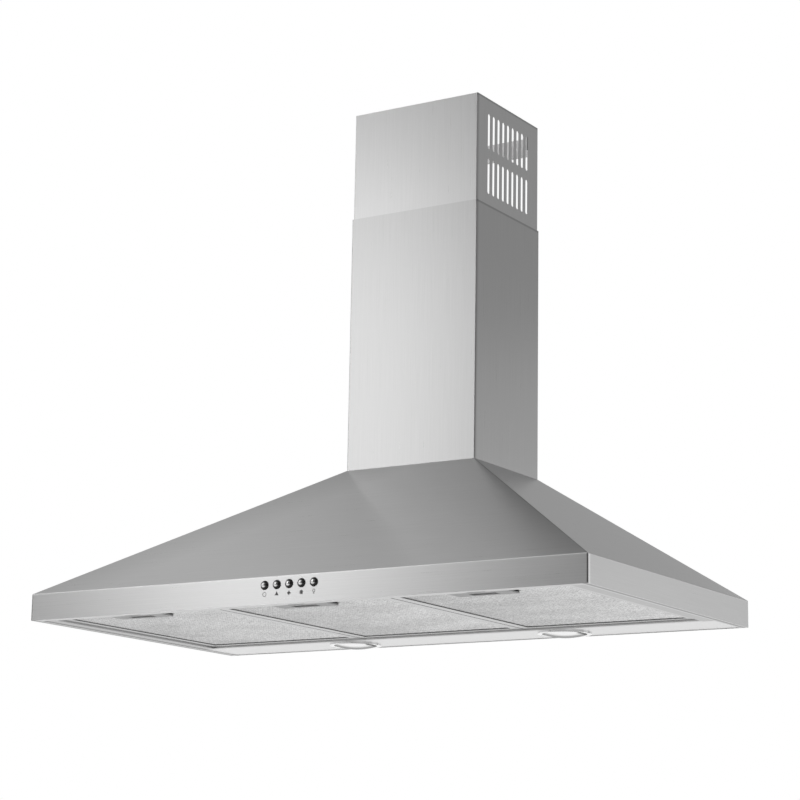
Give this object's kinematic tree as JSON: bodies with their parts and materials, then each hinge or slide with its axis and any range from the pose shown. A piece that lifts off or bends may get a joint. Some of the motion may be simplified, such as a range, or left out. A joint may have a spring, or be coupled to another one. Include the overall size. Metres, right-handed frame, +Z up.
{
  "type": "range hood",
  "caption": "Wall-mounted pyramid range hood with telescoping chimney covers, inner blower and damper, hinged grease filters, round lamps and push buttons.",
  "frame": {"origin": "on the wall plane, midway across the hood, level with the canopy's lower edge", "axes": "+X to the hood's right seen from the front, +Y into the wall, +Z up"},
  "size_m": [0.898, 0.494, 0.8042],
  "materials": {
    "stainless": "brushed stainless steel",
    "zinc_steel": "zinc-coated sheet steel",
    "bright_steel": "plain bright steel",
    "black_plastic": "moulded black plastic",
    "grey_plastic": "moulded grey plastic",
    "motor_metal": "grey painted motor can",
    "capacitor_can": "drawn aluminium can",
    "chrome": "polished chrome",
    "lens_glass": "frosted lamp glass",
    "lamp_shell": "pressed sheet lamp shell",
    "lamp_module": "white lamp module",
    "filter_aluminium": "rolled aluminium frame",
    "filter_mesh": "expanded aluminium mesh layers",
    "latch_plastic": "grey moulded latch"
  },
  "bodies": {
    "hood": {"canopy": "stainless", "lower_chimney": "stainless", "underside_tray": "stainless", "rear_panel": "zinc_steel", "blower_plate": "zinc_steel", "motor_bracket": "zinc_steel", "switch_bracket": "zinc_steel", "rear_rivets": "bright_steel", "blower_screws": "bright_steel", "damper_pin": "bright_steel", "blower_housing_left": "black_plastic", "blower_housing_right": "black_plastic", "outlet_collar": "black_plastic", "inlet_grille": "black_plastic", "switch_housing": "black_plastic", "cable_gland": "black_plastic", "terminal_box": "grey_plastic", "terminal_box_lid": "grey_plastic", "motor": "motor_metal", "capacitor": "capacitor_can", "lamp_left_bezel": "chrome", "lamp_left_lens": "lens_glass", "lamp_left_housing": "lamp_shell", "lamp_left_module": "lamp_module", "lamp_right_bezel": "chrome", "lamp_right_lens": "lens_glass", "lamp_right_housing": "lamp_shell", "lamp_right_module": "lamp_module", "filter_1_catch": "bright_steel", "filter_2_catch": "bright_steel", "filter_3_catch": "bright_steel"},
    "upper_chimney": {"upper_chimney": "stainless", "chimney_bracket": "zinc_steel"},
    "impeller": {"impeller": "grey_plastic", "motor_shaft": "bright_steel"},
    "damper_front": {"damper_flap_front": "black_plastic"},
    "damper_rear": {"damper_flap_rear": "black_plastic"},
    "button_1": {"button_1": "chrome"},
    "button_2": {"button_2": "chrome"},
    "button_3": {"button_3": "chrome"},
    "button_4": {"button_4": "chrome"},
    "button_5": {"button_5": "chrome"},
    "filter_1": {"filter_1_frame": "filter_aluminium", "filter_1_mesh": "filter_mesh", "filter_1_latch_cover": "latch_plastic", "filter_1_latch_spring": "bright_steel"},
    "latch_1": {"filter_1_latch": "latch_plastic"},
    "filter_2": {"filter_2_frame": "filter_aluminium", "filter_2_mesh": "filter_mesh", "filter_2_latch_cover": "latch_plastic", "filter_2_latch_spring": "bright_steel"},
    "latch_2": {"filter_2_latch": "latch_plastic"},
    "filter_3": {"filter_3_frame": "filter_aluminium", "filter_3_mesh": "filter_mesh", "filter_3_latch_cover": "latch_plastic", "filter_3_latch_spring": "bright_steel"},
    "latch_3": {"filter_3_latch": "latch_plastic"}
  },
  "joints": [
    {"name": "chimney_slide", "type": "slide", "parent": "hood", "child": "upper_chimney", "axis": [0, 0, 1], "range_m": [-0.16, 0.178]},
    {"name": "impeller_spin", "type": "hinge", "parent": "hood", "child": "impeller", "pos_m": [0, -0.095, 0.125], "axis": [1, 0, 0], "continuous": true},
    {"name": "damper_front_swing", "type": "hinge", "parent": "hood", "child": "damper_front", "pos_m": [0, -0.0945, 0.263], "axis": [-1, 0, 0], "range_deg": [0, 72]},
    {"name": "damper_rear_swing", "type": "hinge", "parent": "hood", "child": "damper_rear", "pos_m": [0, -0.0945, 0.263], "axis": [1, 0, 0], "range_deg": [0, 72]},
    {"name": "button_1_press", "type": "slide", "parent": "hood", "child": "button_1", "axis": [0, 1, 0], "range_m": [0, 0.003], "stiffness_N_per_m": 500},
    {"name": "button_2_press", "type": "slide", "parent": "hood", "child": "button_2", "axis": [0, 1, 0], "range_m": [0, 0.003], "stiffness_N_per_m": 500},
    {"name": "button_3_press", "type": "slide", "parent": "hood", "child": "button_3", "axis": [0, 1, 0], "range_m": [0, 0.003], "stiffness_N_per_m": 500},
    {"name": "button_4_press", "type": "slide", "parent": "hood", "child": "button_4", "axis": [0, 1, 0], "range_m": [0, 0.003], "stiffness_N_per_m": 500},
    {"name": "button_5_press", "type": "slide", "parent": "hood", "child": "button_5", "axis": [0, 1, 0], "range_m": [0, 0.003], "stiffness_N_per_m": 500},
    {"name": "filter_1_swing", "type": "hinge", "parent": "hood", "child": "filter_1", "pos_m": [-0.278, -0.092, 0.003], "axis": [1, 0, 0], "range_deg": [0, 45], "deforming": ["filter_1_catch"]},
    {"name": "filter_2_swing", "type": "hinge", "parent": "hood", "child": "filter_2", "pos_m": [0, -0.092, 0.003], "axis": [1, 0, 0], "range_deg": [0, 45], "deforming": ["filter_2_catch"]},
    {"name": "filter_3_swing", "type": "hinge", "parent": "hood", "child": "filter_3", "pos_m": [0.278, -0.092, 0.003], "axis": [1, 0, 0], "range_deg": [0, 45], "deforming": ["filter_3_catch"]},
    {"name": "latch_1_slide", "type": "slide", "parent": "filter_1", "child": "latch_1", "axis": [0, 1, 0], "range_m": [0, 0.005], "stiffness_N_per_m": 400, "deforming": ["filter_1_latch_spring"]},
    {"name": "latch_2_slide", "type": "slide", "parent": "filter_2", "child": "latch_2", "axis": [0, 1, 0], "range_m": [0, 0.005], "stiffness_N_per_m": 400, "deforming": ["filter_2_latch_spring"]},
    {"name": "latch_3_slide", "type": "slide", "parent": "filter_3", "child": "latch_3", "axis": [0, 1, 0], "range_m": [0, 0.005], "stiffness_N_per_m": 400, "deforming": ["filter_3_latch_spring"]}
  ]
}
